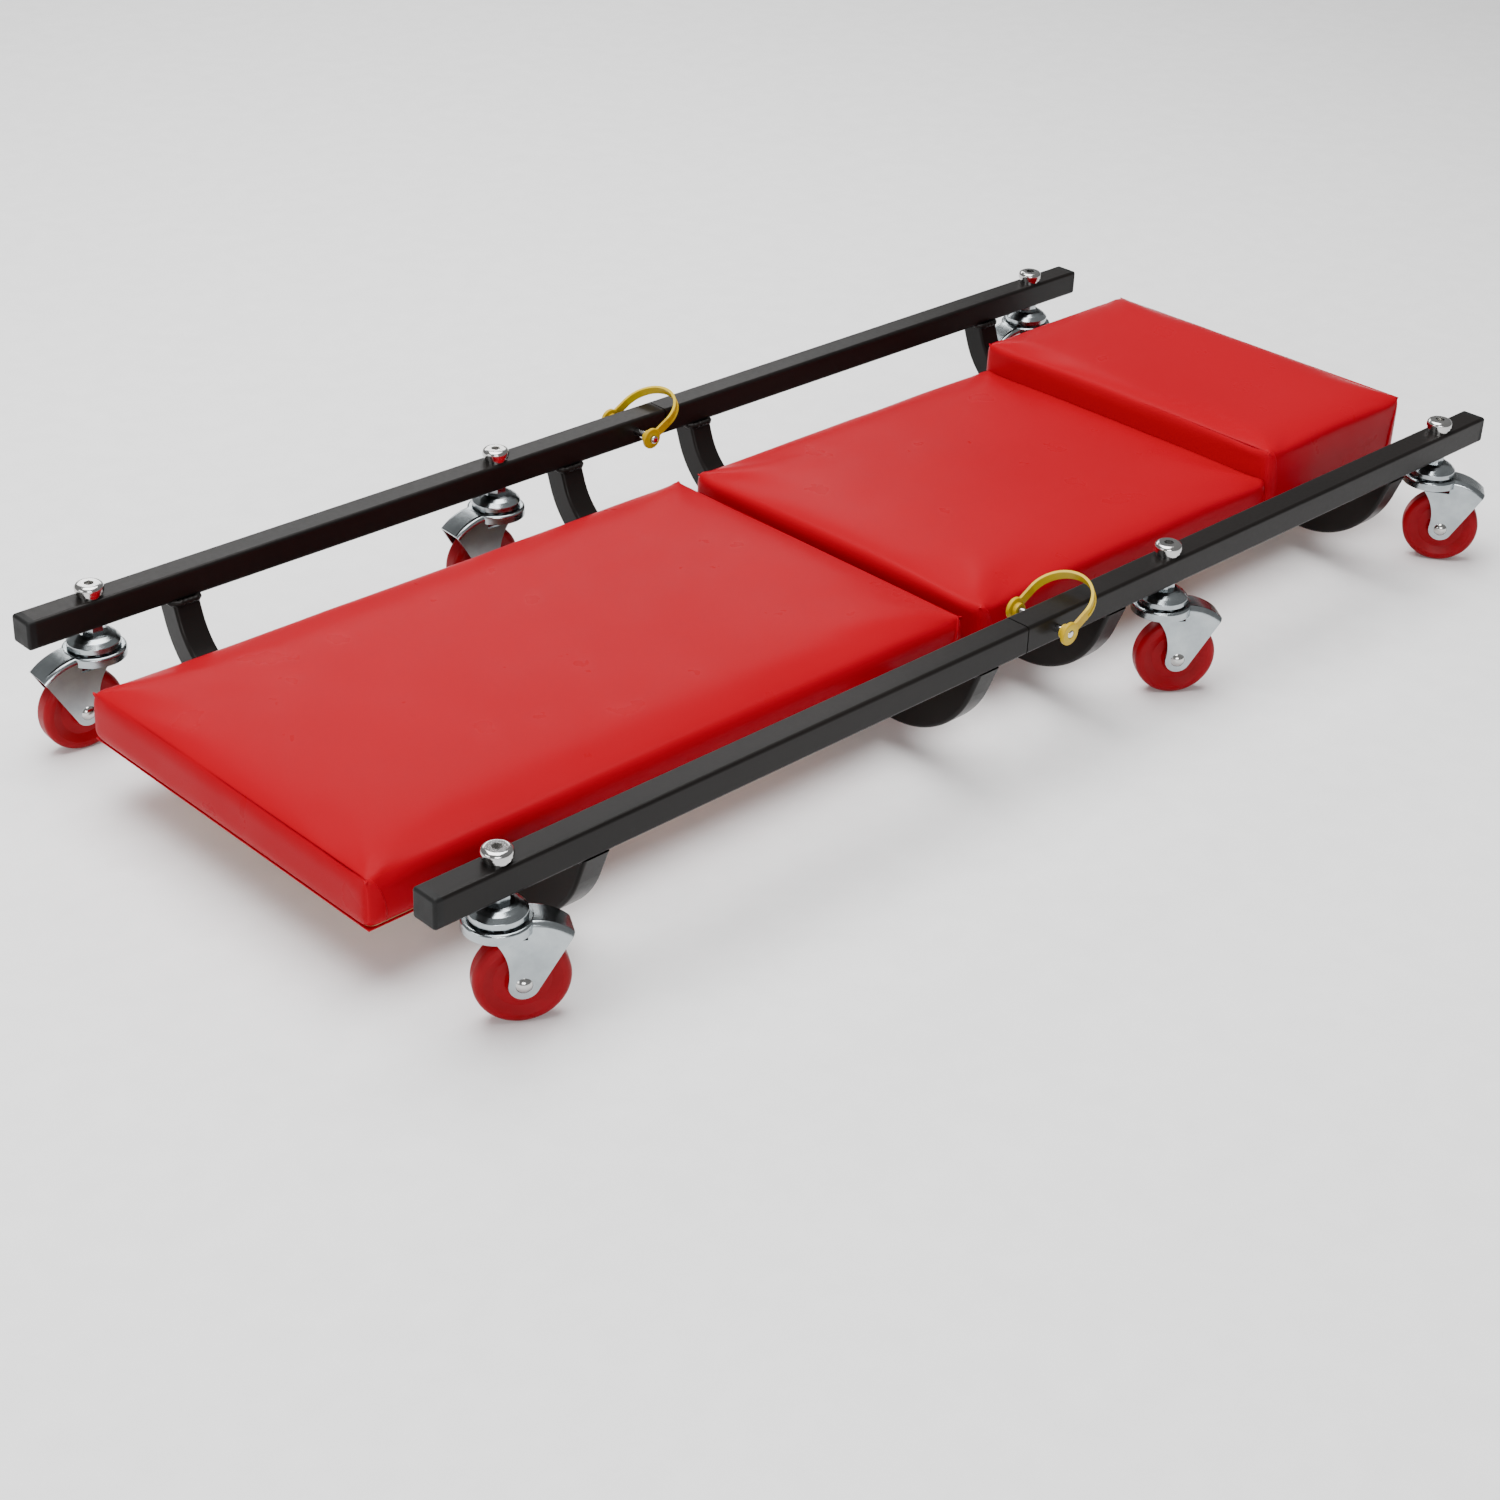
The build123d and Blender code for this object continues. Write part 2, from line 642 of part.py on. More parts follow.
def make_strap(side):
    """Moulded strap: two round eyes on the pin, joined by a grooved band over the rail."""
    eyes = [make_eye(STRAP_OUT, STRAP_OUT - 5), make_eye(STRAP_IN, STRAP_IN + 5)]
    middle = (STRAP_OUT + STRAP_IN) / 2
    loop = (STRAP_OUT - STRAP_IN) / 2
    straight = STRAP_REACH - loop
    thick = STRAP_SHEET
    with BuildPart() as strap:
        with BuildSketch(Plane.YZ):
            with Locations((middle, straight)):
                Circle(loop + thick / 2)
                Circle(loop - thick / 2, mode=Mode.SUBTRACT)
                Rectangle(3 * loop, 2 * loop, align=(Align.CENTER, Align.MAX), mode=Mode.SUBTRACT)
            for arm in (STRAP_IN, STRAP_OUT):
                with Locations((arm, straight / 2 + 2)):
                    Rectangle(thick, straight - 4)
        extrude(amount=STRAP_BAND / 2, both=True)
        with BuildSketch(Plane.YZ):
            with Locations((middle, straight)):
                Circle(loop + thick)
                Circle(loop + thick / 2 - 0.6, mode=Mode.SUBTRACT)
                Rectangle(4 * loop, 4 * loop, align=(Align.CENTER, Align.MAX), mode=Mode.SUBTRACT)
        extrude(amount=STRAP_BAND / 2 - 1.4, both=True, mode=Mode.SUBTRACT)
        for eye in eyes:
            add(eye)
        with Locations((0, STRAP_OUT, 0)):
            Cylinder(PIN_R + 0.02, 40, rotation=(90, 0, 0), mode=Mode.SUBTRACT)
        with Locations((0, STRAP_IN + EYE_SHEET / 2 + 10, 0)):
            Cylinder(PIN_R + 0.02, 20, rotation=(90, 0, 0), mode=Mode.SUBTRACT)
        with Locations((0, STRAP_IN, 0)):
            Cylinder(PIN_R - 0.58, EYE_SHEET + 1, rotation=(90, 0, 0), mode=Mode.SUBTRACT)
    leaned = strap.part.rotate(Axis.Y, 90 - STRAP_LEAN)
    if side < 0:
        leaned = leaned.mirror(Plane.XZ)
    return leaned.moved(Location((0, side * RAIL_Y, RAIL_Z)))


def make_locks():
    for name, side in (("near", -1), ("far", 1)):
        save(make_pin(side), f"lock_pin_{name}")
        save(make_strap(side), f"lock_strap_{name}")


make_frame()
make_pads()
make_casters()
make_locks()
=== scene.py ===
"""Looks of the two-part mechanic's creeper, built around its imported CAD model. Metres."""

import json
import math

import bmesh
import bpy
from mathutils import Matrix, Vector, noise
from mathutils.bvhtree import BVHTree


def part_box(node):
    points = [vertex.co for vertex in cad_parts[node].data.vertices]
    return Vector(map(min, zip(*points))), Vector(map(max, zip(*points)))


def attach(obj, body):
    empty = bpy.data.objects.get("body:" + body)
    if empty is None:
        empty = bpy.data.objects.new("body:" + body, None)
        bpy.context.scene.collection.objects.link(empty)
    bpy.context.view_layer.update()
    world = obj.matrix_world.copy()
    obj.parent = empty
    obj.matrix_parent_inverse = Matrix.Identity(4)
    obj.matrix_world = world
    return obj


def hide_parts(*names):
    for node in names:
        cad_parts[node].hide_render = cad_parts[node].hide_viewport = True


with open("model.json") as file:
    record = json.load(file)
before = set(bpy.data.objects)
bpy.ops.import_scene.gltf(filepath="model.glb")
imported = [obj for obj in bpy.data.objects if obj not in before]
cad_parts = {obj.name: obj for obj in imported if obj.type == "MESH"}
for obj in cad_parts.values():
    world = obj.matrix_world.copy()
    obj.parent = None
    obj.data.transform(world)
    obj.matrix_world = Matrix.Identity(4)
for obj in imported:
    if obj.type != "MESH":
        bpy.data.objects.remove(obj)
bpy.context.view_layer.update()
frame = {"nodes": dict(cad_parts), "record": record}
NODES = frame["nodes"]

# ---- camera -----------------------------------------------------------------------------
AZIMUTH = math.radians(-45.342)
ELEVATION = math.radians(27.716)
ROLL = math.radians(2.516)
TARGET = Vector((-0.01842, 0.04221, 0.0))
DISTANCE = 1.93177
LENS = 63.665
SHIFT = (-0.00444, -0.08338)


def make_camera():
    """Camera that looks down across the foot end's near corner."""
    back = Vector((
        math.sin(AZIMUTH) * math.cos(ELEVATION),
        -math.cos(AZIMUTH) * math.cos(ELEVATION),
        math.sin(ELEVATION),
    ))
    level = Vector((math.cos(AZIMUTH), math.sin(AZIMUTH), 0))
    upright = back.cross(level)
    right = math.cos(ROLL) * level + math.sin(ROLL) * upright
    up = -math.sin(ROLL) * level + math.cos(ROLL) * upright
    data = bpy.data.cameras.new("camera")
    data.lens = LENS
    data.sensor_width = 36
    data.shift_x, data.shift_y = SHIFT
    data.clip_end = 50
    cam = bpy.data.objects.new("camera", data)
    turn = Matrix((right, up, back)).transposed().to_4x4()
    cam.matrix_world = Matrix.Translation(TARGET + back * DISTANCE) @ turn
    bpy.context.collection.objects.link(cam)
    bpy.context.scene.camera = cam


# ---- light and floor --------------------------------------------------------------------
def aim(obj, target):
    obj.rotation_euler = (Vector(target) - obj.location).to_track_quat("-Z", "Y").to_euler()


def area_light(name, place, target, size, power):
    data = bpy.data.lights.new(name, "AREA")
    data.shape = "RECTANGLE"
    data.size, data.size_y = size
    data.energy = power
    obj = bpy.data.objects.new(name, data)
    obj.location = place
    aim(obj, target)
    bpy.context.collection.objects.link(obj)


WORLD_STRENGTH = 0.30
FLOOR_REACH = 6.0


def make_stage():
    """Pale floor, pale world and soft studio lights."""
    world = bpy.data.worlds.new("studio")
    bpy.context.scene.world = world
    world.use_nodes = True
    shade = world.node_tree.nodes["Background"]
    shade.inputs["Color"].default_value = (1.0, 1.0, 1.0, 1)
    shade.inputs["Strength"].default_value = WORLD_STRENGTH
    mesh = bpy.data.meshes.new("floor")
    reach = FLOOR_REACH
    corners = [(-reach, -reach, 0), (reach, -reach, 0), (reach, reach, 0), (-reach, reach, 0)]
    mesh.from_pydata(corners, [], [(0, 1, 2, 3)])
    floor = bpy.data.objects.new("floor", mesh)
    bpy.context.collection.objects.link(floor)
    mat = Shader("floor_pale", rough=0.75)
    grain = mat.noise(scale=40, detail=4)
    mat.colour(mat.ramp(grain, [(0.3, (0.86, 0.86, 0.86)), (0.7, (0.9, 0.9, 0.9))]))
    mat.set("Specular IOR Level", 0.1)
    mesh.materials.append(mat.mat)
    area_light("overhead", (-0.2, 0.3, 2.3), (0, 0, 0), (2.6, 2.0), 132)
    area_light("near_fill", (-1.9, -2.3, 1.1), (0, 0, 0.05), (1.6, 0.7), 40)
    area_light("foot_fill", (-2.9, 0.5, 0.9), (0, 0, 0.05), (1.4, 0.8), 16)
    area_light("far_rim", (1.2, 2.4, 1.5), (0, 0, 0.05), (2.4, 0.5), 22)


# ---- materials --------------------------------------------------------------------------
class Shader:
    """A principled material and short calls that wire procedural detail into it."""

    def __init__(self, name, rough=0.5, metal=0.0):
        self.mat = bpy.data.materials.new(name)
        self.mat.use_nodes = True
        self.tree = self.mat.node_tree
        self.bsdf = self.tree.nodes["Principled BSDF"]
        self.set("Roughness", rough)
        self.set("Metallic", metal)
        self.coords = self.tree.nodes.new("ShaderNodeTexCoord")
        self.height = None

    def node(self, kind, **inputs):
        made = self.tree.nodes.new(kind)
        for key, value in inputs.items():
            self.link(value, made.inputs[key])
        return made

    def link(self, value, socket):
        if isinstance(value, bpy.types.NodeSocket):
            self.tree.links.new(value, socket)
        else:
            socket.default_value = value

    def set(self, name, value):
        self.link(value, self.bsdf.inputs[name])

    def place(self, stretch=(1, 1, 1)):
        made = self.node("ShaderNodeMapping", Vector=self.coords.outputs["Object"])
        made.inputs["Scale"].default_value = stretch
        return made.outputs[0]

    def noise(self, scale, detail=2.0, rough=0.5, stretch=(1, 1, 1), distort=0.0):
        made = self.node("ShaderNodeTexNoise", Vector=self.place(stretch))
        made.inputs["Scale"].default_value = scale
        made.inputs["Detail"].default_value = detail
        made.inputs["Roughness"].default_value = rough
        made.inputs["Distortion"].default_value = distort
        return made.outputs["Fac"]

    def cells(self, scale):
        """0 on the borders of small cells, growing toward their middles."""
        made = self.node("ShaderNodeTexVoronoi", Vector=self.place())
        made.feature = "DISTANCE_TO_EDGE"
        made.inputs["Scale"].default_value = scale
        return made.outputs["Distance"]

    def ramp(self, value, stops):
        made = self.node("ShaderNodeValToRGB", Fac=value)
        marks = made.color_ramp.elements
        while len(marks) < len(stops):
            marks.new(0.5)
        for mark, (at, tint) in zip(marks, stops):
            mark.position = at
            mark.color = (*tint, 1) if isinstance(tint, tuple) else (tint, tint, tint, 1)
        return made.outputs["Color"]

    def mix(self, fac, a, b):
        made = self.tree.nodes.new("ShaderNodeMix")
        made.data_type = "RGBA"
        self.link(fac, made.inputs[0])
        for socket, value in ((made.inputs[6], a), (made.inputs[7], b)):
            self.link((*value, 1) if isinstance(value, tuple) else value, socket)
        return made.outputs[2]

    def edges(self, low, high):
        """1 on convex edges, 0 elsewhere."""
        point = self.tree.nodes.new("ShaderNodeNewGeometry").outputs["Pointiness"]
        return self.ramp(point, [(low, 0.0), (high, 1.0)])

    def colour(self, value):
        self.set("Base Color", value)

    def rough(self, value, low, high):
        self.set("Roughness", self.ramp(value, [(0.25, low), (0.75, high)]))

    def bump(self, value, strength, distance):
        made = self.node("ShaderNodeBump", Height=value)
        made.inputs["Strength"].default_value = strength
        made.inputs["Distance"].default_value = distance
        if self.height is not None:
            self.tree.links.new(self.height, made.inputs["Normal"])
        self.height = made.outputs["Normal"]
        self.set("Normal", self.height)


def black_enamel():
    """Black paint on steel tube: brownish bloom, slight orange peel and small grey-blue rubs."""
    s = Shader("black_enamel", rough=0.4)
    blotch = s.noise(7, detail=4)
    base = s.ramp(blotch, [(0.3, (0.0060, 0.0050, 0.0046)), (0.7, (0.0082, 0.0066, 0.0060))])
    rubs = s.ramp(s.noise(150, detail=6, rough=0.7), [(0.64, 0.0), (0.78, 0.45)])
    s.colour(s.mix(rubs, base, (0.016, 0.018, 0.020)))
    s.rough(s.noise(300, detail=4), 0.30, 0.38)
    s.set("Specular IOR Level", 0.13)
    s.bump(s.noise(900, detail=2), 0.05, 0.0003)
    return s.mat


def black_moulding():
    s = Shader("black_moulding", rough=0.5)
    s.colour(s.ramp(s.noise(30, detail=3), [(0.3, (0.006, 0.006, 0.006)), (0.7, (0.009, 0.009, 0.009))]))
    s.rough(s.noise(80, detail=4), 0.42, 0.6)
    s.set("Specular IOR Level", 0.15)
    s.bump(s.noise(1500, detail=2), 0.15, 0.0004)
    return s.mat


def zinc(name, dark, pale, low, high, stretch):
    """Bright zinc plate: soft clouding, fine drawing lines and darker handling marks."""
    s = Shader(name, rough=low, metal=1.0)
    cloud = s.noise(55, detail=5, rough=0.6)
    base = s.ramp(cloud, [(0.3, dark), (0.7, pale)])
    marks = s.ramp(s.noise(170, detail=6, rough=0.7), [(0.6, 0.0), (0.8, 0.3)])
    s.colour(s.mix(marks, base, tuple(0.6 * c for c in dark)))
    s.rough(s.noise(220, detail=4, stretch=stretch), low, high)
    s.bump(s.noise(900, detail=3, stretch=stretch), 0.06, 0.0003)
    return s.mat


def red_moulding():
    """Moulded wheel: deep red, slightly uneven, with scattered dusty scuffs."""
    s = Shader("red_moulding", rough=0.35)
    base = s.ramp(s.noise(45, detail=4), [(0.3, (0.20, 0.0003, 0.0035)), (0.7, (0.25, 0.0006, 0.006))])
    scuff = s.ramp(s.noise(240, detail=6, rough=0.7), [(0.58, 0.0), (0.72, 0.5)])
    s.colour(s.mix(scuff, base, (0.19, 0.003, 0.006)))
    s.set("Specular IOR Level", 0.12)
    s.rough(s.noise(120, detail=5), 0.28, 0.5)
    s.set("Subsurface Weight", 0.05)
    s.set("Subsurface Radius", (0.004, 0.001, 0.001))
    s.bump(s.noise(600, detail=3), 0.12, 0.0005)
    return s.mat


def yellow_moulding():
    """Flexible yellow strap: slightly clear plastic, with a painted highlight on its convex edges."""
    s = Shader("yellow_moulding", rough=0.35)
    base = s.ramp(s.noise(70, detail=4), [(0.3, (0.40, 0.25, 0.001)), (0.7, (0.47, 0.31, 0.002))])
    # painted highlight: a paler yellow mixed in along the convex edges
    s.colour(s.mix(s.edges(0.52, 0.6), base, (0.52, 0.37, 0.010)))
    s.rough(s.noise(160, detail=4), 0.3, 0.46)
    s.set("Specular IOR Level", 0.2)
    s.set("Subsurface Weight", 0.15)
    s.set("Subsurface Radius", (0.004, 0.003, 0.001))
    s.bump(s.noise(700, detail=3), 0.08, 0.0004)
    return s.mat


def plywood():
    s = Shader("plywood", rough=0.7)
    grain = s.noise(14, detail=7, rough=0.65, stretch=(0.6, 9, 9), distort=0.4)
    veneer = [(0.3, (0.36, 0.21, 0.10)), (0.55, (0.55, 0.37, 0.20)), (0.75, (0.66, 0.48, 0.29))]
    s.colour(s.ramp(grain, veneer))
    s.rough(grain, 0.62, 0.8)
    s.bump(grain, 0.2, 0.0006)
    return s.mat


def red_vinyl(name="red_vinyl"):
    """Coated vinyl cloth: fine embossed grain, slow colour drift, a painted highlight along the edges."""
    s = Shader(name, rough=0.42)
    drift = s.noise(3.5, detail=4)
    base = s.ramp(drift, [(0.3, (0.29, 0.0, 0.0065)), (0.7, (0.33, 0.0, 0.0080))])
    # painted highlight: a paler red mixed in along the convex edges
    s.colour(s.mix(s.edges(0.53, 0.60), base, (0.40, 0.002, 0.012)))
    s.rough(s.noise(26, detail=5), 0.26, 0.34)
    s.set("Specular IOR Level", 0.03)
    grain = s.cells(1300)
    s.bump(s.ramp(grain, [(0.0, 0.0), (0.35, 1.0)]), 0.10, 0.00025)
    s.bump(s.noise(9, detail=3, rough=0.5), 0.06, 0.004)
    return s.mat


def dress_frame():
    """Give every carried-over CAD node its finish."""
    looks = {
        "black_paint": black_enamel(),
        "black_plastic": black_moulding(),
        "plywood": plywood(),
        "foam": red_vinyl("inner_foam"),
        "red_vinyl": red_vinyl(),
        "zinc_steel": zinc("zinc_plate", (0.30, 0.33, 0.345), (0.42, 0.455, 0.47), 0.16, 0.27, (1, 1, 8)),
        "bright_steel": zinc("bright_plate", (0.42, 0.42, 0.42), (0.58, 0.57, 0.55), 0.10, 0.2, (6, 6, 1)),
        "ball_steel": zinc("polished_balls", (0.55, 0.56, 0.58), (0.68, 0.69, 0.70), 0.08, 0.16, (1, 1, 1)),
        "red_wheel": red_moulding(),
        "yellow_plastic": yellow_moulding(),
    }
    slots = {part["node"]: part["material_slot"] for part in frame["record"]["subparts"]}
    for node, obj in NODES.items():
        obj.data.materials.clear()
        obj.data.materials.append(looks[slots[node]])
    return looks


# ---- pads -------------------------------------------------------------------------------
VOXEL = 0.0045
SHRINK = 0.0016
SWELL_CAP = 0.0036
EDGE = 0.0052
BOTTOM = 0.043
HEM = 0.022
HEM_EDGE = 0.0034
BOARD_TOP = 0.0532
BOARD_ROOM = 0.009
TUCK = 0.007
PAST_END = -0.02
SIM_STEPS = 20
HOLD_BELOW = 0.007
CROWN_DEPTH = 0.0015
CROWN_PASSES = 6
PUCKER = 0.0009
CROWN_DRIFT = 0.0007
RIM_SWAY = 0.0006
PLEAT_START = 0.0034
PLEAT_NARROW = 0.0035
PLEAT_SPREAD = 0.0085
PLEAT_LIFT = 0.0010
PLEAT_THICK = 0.0012
STAPLE_PITCH = 0.042
STAPLE_WIRE = 0.00035


def new_object(name, mesh, body, look, smooth=True):
    """Link a piece, give it its finish, and let it ride on a body."""
    obj = bpy.data.objects.new(name, mesh)
    bpy.context.collection.objects.link(obj)
    mesh.materials.clear()
    mesh.materials.append(look)
    for face in mesh.polygons:
        face.use_smooth = smooth
    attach(obj, body)
    return obj


def evaluated(obj):
    """A mesh of the object with its modifiers applied."""
    graph = bpy.context.evaluated_depsgraph_get()
    graph.update()
    return bpy.data.meshes.new_from_object(obj.evaluated_get(graph))


def rounded_box(low, high, edge):
    """Mesh of a box with every edge rounded, as even quads."""
    bm = bmesh.new()
    bmesh.ops.create_cube(bm, size=1.0)
    size = high - low
    middle = (high + low) / 2
    for vert in bm.verts:
        vert.co = Vector(vert.co[i] * size[i] + middle[i] for i in range(3))
    bmesh.ops.bevel(bm, geom=bm.edges[:], offset=edge, segments=4, profile=0.5, affect="EDGES")
    mesh = bpy.data.meshes.new("pad")
    bm.to_mesh(mesh)
    bm.free()
    obj = bpy.data.objects.new("pad_start", mesh)
    bpy.context.collection.objects.link(obj)
    grid = obj.modifiers.new("grid", "REMESH")
    grid.mode = "VOXEL"
    grid.voxel_size = VOXEL
    even = evaluated(obj)
    bpy.data.objects.remove(obj)
    return even


def inflate(mesh, high):
    """Swell the top as cloth under pressure, its sides and underside held, and limit every move."""
    start = [vert.co.copy() for vert in mesh.vertices]
    obj = bpy.data.objects.new("pad_cloth", mesh)
    bpy.context.collection.objects.link(obj)
    held = obj.vertex_groups.new(name="held")
    held.add([i for i, co in enumerate(start) if co.z < high.z - HOLD_BELOW], 1.0, "REPLACE")
    cloth = obj.modifiers.new("cloth", "CLOTH")
    cloth.settings.quality = 4
    cloth.settings.mass = 0.3
    cloth.settings.tension_stiffness = 22
    cloth.settings.compression_stiffness = 22
    cloth.settings.shear_stiffness = 12
    cloth.settings.bending_stiffness = 1.2
    cloth.settings.use_pressure = True
    cloth.settings.uniform_pressure_force = 4.0
    cloth.settings.vertex_group_mass = "held"
    cloth.settings.effector_weights.gravity = 0
    cloth.collision_settings.use_collision = False
    cloth.point_cache.frame_start = 1
    cloth.point_cache.frame_end = SIM_STEPS
    scene = bpy.context.scene
    for step in range(1, SIM_STEPS + 1):
        scene.frame_set(step)
    swollen = evaluated(obj)
    scene.frame_set(1)
    bpy.data.objects.remove(obj)
    for vert, was in zip(swollen.vertices, start):
        move = vert.co - was
        vert.co = was + move * (SWELL_CAP / (SWELL_CAP + move.length))
    bm = bmesh.new()
    bm.from_mesh(swollen)
    crown = [vert for vert in bm.verts if start[vert.index].z > high.z - CROWN_DEPTH]
    axes = {f"use_axis_{axis}": True for axis in "xyz"}
    for _ in range(CROWN_PASSES):
        bmesh.ops.smooth_vert(bm, verts=crown, factor=0.5, **axes)
    bm.to_mesh(swollen)
    bm.free()
    return swollen


def settle(mesh, low, high, open_low, open_high):
    """Puckers at the corners, an uneven rim, a flat underside and room for the board."""
    for vert in mesh.vertices:
        co = vert.co
        near_end = min(co.x - low.x, high.x - co.x)
        near_side = min(co.y - low.y, high.y - co.y)
        far = math.hypot(max(near_end, 0), max(near_side, 0))
        if co.z > high.z - 0.012:
            turn = math.atan2(max(near_side, 0) + 1e-4, max(near_end, 0) + 1e-4)
            fold = math.cos(turn * 14) * math.exp(-((far / 0.022) ** 2))
            co.z += PUCKER * fold
            co.z += CROWN_DRIFT * noise.noise(Vector((co.x * 9, co.y * 9, 2.0)))
        rim = math.exp(-((min(near_end, near_side) / 0.02) ** 2))
        sway = noise.noise(Vector((co.x * 22, co.y * 22, co.z * 14)))
        if low.z + 0.008 < co.z:
            away = Vector((co.x - (low.x + high.x) / 2, co.y, 0))
            away.x *= abs(away.x) / (high.x - low.x)
            away.y *= abs(away.y) / (high.y - low.y)
            if away.length > 1e-6:
                co += away.normalized() * (RIM_SWAY * rim * sway)
        if co.z < low.z + 0.003:
            co.z = max(co.z, BOTTOM + 0.0007)
            if open_low.x < co.x < open_high.x and open_low.y < co.y < open_high.y:
                co.z = BOARD_TOP + 0.0012
    mesh.update()
    return mesh


def make_pad(name, cover, foam, body, look, ends, tuck=0.0):
    """One upholstered pad in the place of its CAD cover and foam.

    `ends` says how much room the underside leaves for the board at its low and high x, and
    `tuck` how far the high end runs on under the next pad.
    """
    low, high = (Vector(v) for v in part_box(cover))
    high.x += tuck
    inner_low = low + Vector((SHRINK, SHRINK, 0.0006))
    inner_high = high - Vector((SHRINK, SHRINK, SHRINK + 0.0006))
    mesh = rounded_box(inner_low, inner_high, EDGE)
    mesh = inflate(mesh, inner_high)
    open_low = Vector((low.x + ends[0], low.y + BOARD_ROOM, 0))
    open_high = Vector((high.x - ends[1], high.y - BOARD_ROOM, 0))
    mesh = settle(mesh, inner_low, inner_high, open_low, open_high)
    mesh.name = name
    pad = new_object(name, mesh, body, look)
    fine = pad.modifiers.new("fine", "SUBSURF")
    fine.levels = 1
    fine.render_levels = 1
    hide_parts(cover, foam)
    return pad


def sheet_solid(outer, inner, columns, rows):
    """Closed thin solid between two grids of points, row by row."""
    count = columns * rows
    verts = outer + inner
    faces = []
    for r in range(rows - 1):
        for c in range(columns - 1):
            a = r * columns + c
            faces.append((a, a + 1, a + 1 + columns, a + columns))
            faces.append((count + a, count + a + columns, count + a + 1 + columns, count + a + 1))
    rim = list(range(columns))
    rim += [r * columns + columns - 1 for r in range(1, rows)]
    rim += [(rows - 1) * columns + c for c in range(columns - 2, -1, -1)]
    rim += [r * columns for r in range(rows - 2, 0, -1)]
    for here, there in zip(rim, rim[1:] + rim[:1]):
        faces.append((here, count + here, count + there, there))
    return verts, faces


def merged(name, solids):
    """One mesh from several lists of points and faces."""
    verts, faces = [], []
    for more_verts, more_faces in solids:
        base = len(verts)
        verts += [tuple(v) for v in more_verts]
        faces += [tuple(base + i for i in face) for face in more_faces]
    mesh = bpy.data.meshes.new(name)
    mesh.from_pydata(verts, [], faces)
    bm = bmesh.new()
    bm.from_mesh(mesh)
    bmesh.ops.recalc_face_normals(bm, faces=bm.faces[:])
    bm.to_mesh(mesh)
    bm.free()
    mesh.update()
    return mesh


def corner_pleat(tree, corner_x, inward, side, z_low, z_high):
    """Folded flap of cover beside one upright corner: widest below, closing to a dart above."""
    columns, rows = 12, 22
    outer, inner = [], []
    for r in range(rows):
        up = r / (rows - 1)
        z = z_low + (z_high - z_low) * up
        width = PLEAT_NARROW + PLEAT_SPREAD * (1 - up ** 2.2)
        for c in range(columns):
            along = c / (columns - 1)
            x = corner_x + inward * (PLEAT_START + width * along)
            hit = tree.ray_cast(Vector((x, side * 0.4, z)), Vector((0, -side, 0)), 0.6)
            y = hit[0].y if hit[0] is not None else side * 0.141
            lift = 0.0001 + PLEAT_LIFT * along ** 0.7 * (1 - up ** 6)
            if c == columns - 1:
                lift = 0.0003
            outer.append((x, y + side * lift, z))
            inner.append((x, y - side * PLEAT_THICK, z))
    return sheet_solid(outer, inner, columns, rows)


def make_pleats(name, pad, cover, both_ends, body, look, z_from=None):
    """The wrapped corners of one pad, at its low end or at both ends.

    Those at the low end start at z_from, where another pad hides the rest.
    """
    low, high = (Vector(v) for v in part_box(cover))
    tree = BVHTree.FromObject(pad, bpy.context.evaluated_depsgraph_get())
    solids = []
    ends = ((low.x, 1), (high.x, -1)) if both_ends else ((low.x, 1),)
    for x, inward in ends:
        for side in (-1, 1):
            start = BOTTOM + 0.004 if z_from is None or inward < 0 else z_from
            solids.append(corner_pleat(tree, x, inward, side, start, high.z - 0.0052))
    mesh = merged(name, solids)
    return new_object(name, mesh, body, look)


def make_hem(name, low, high, body, look):
    """Cover turned under the board and stapled: a flat border with folded corners."""
    z_top, z_low = BOTTOM + 0.0011, BOTTOM + 0.00005
    steps = 64
    loop = []
    rim = Vector((HEM_EDGE, HEM_EDGE, 0))
    out_low, out_high = low + rim, high - rim
    border = Vector((HEM, HEM, 0))
    in_low, in_high = low + border, high - border
    sides = ((0, 1), (1, 1), (1, 0), (0, 0))
    outs = [Vector(((out_low, out_high)[a].x, (out_low, out_high)[b].y, 0)) for a, b in sides]
    ins = [Vector(((in_low, in_high)[a].x, (in_low, in_high)[b].y, 0)) for a, b in sides]
    for k in range(4):
        for i in range(steps):
            t = i / steps
            out = outs[k].lerp(outs[(k + 1) % 4], t)
            inn = ins[k].lerp(ins[(k + 1) % 4], t)
            away = (inn - out).normalized()
            ragged = noise.noise(Vector((inn.x * 30, inn.y * 30, 5.0)))
            inn = inn + away * (0.0011 * ragged * math.sin(math.pi * t) ** 0.5)
            loop.append((out, inn))
    verts, faces = [], []
    for out, inn in loop:
        for point, z in ((out, z_low + 0.0004), (out, z_top), (inn, z_top), (inn, z_low)):
            verts.append((point.x, point.y, z))
    count = len(loop)
    for i in range(count):
        j = (i + 1) % count
        for k in range(4):
            m = (k + 1) % 4
            faces.append((4 * i + k, 4 * i + m, 4 * j + m, 4 * j + k))
    solids = [(verts, faces)]
    for k in range(4):
        out, inn = outs[k], ins[k]  # folded triangle of spare cover at the corner
        along = (outs[(k + 1) % 4] - out).normalized()
        tip = inn + (inn - out) * 0.15
        wide = out + along * 0.030
        thick = 0.0006
        tri = [out + (inn - out) * 0.05, wide + (inn - out) * 0.05, tip]
        top = [(p.x, p.y, z_low + 0.0001) for p in tri]
        bot = [(p.x, p.y, z_low - thick) for p in tri]
        solids.append((top + bot, [(0, 1, 2), (3, 5, 4), (0, 3, 4, 1), (1, 4, 5, 2), (2, 5, 3, 0)]))
    return new_object(name, merged(name, solids), body, look, smooth=False)


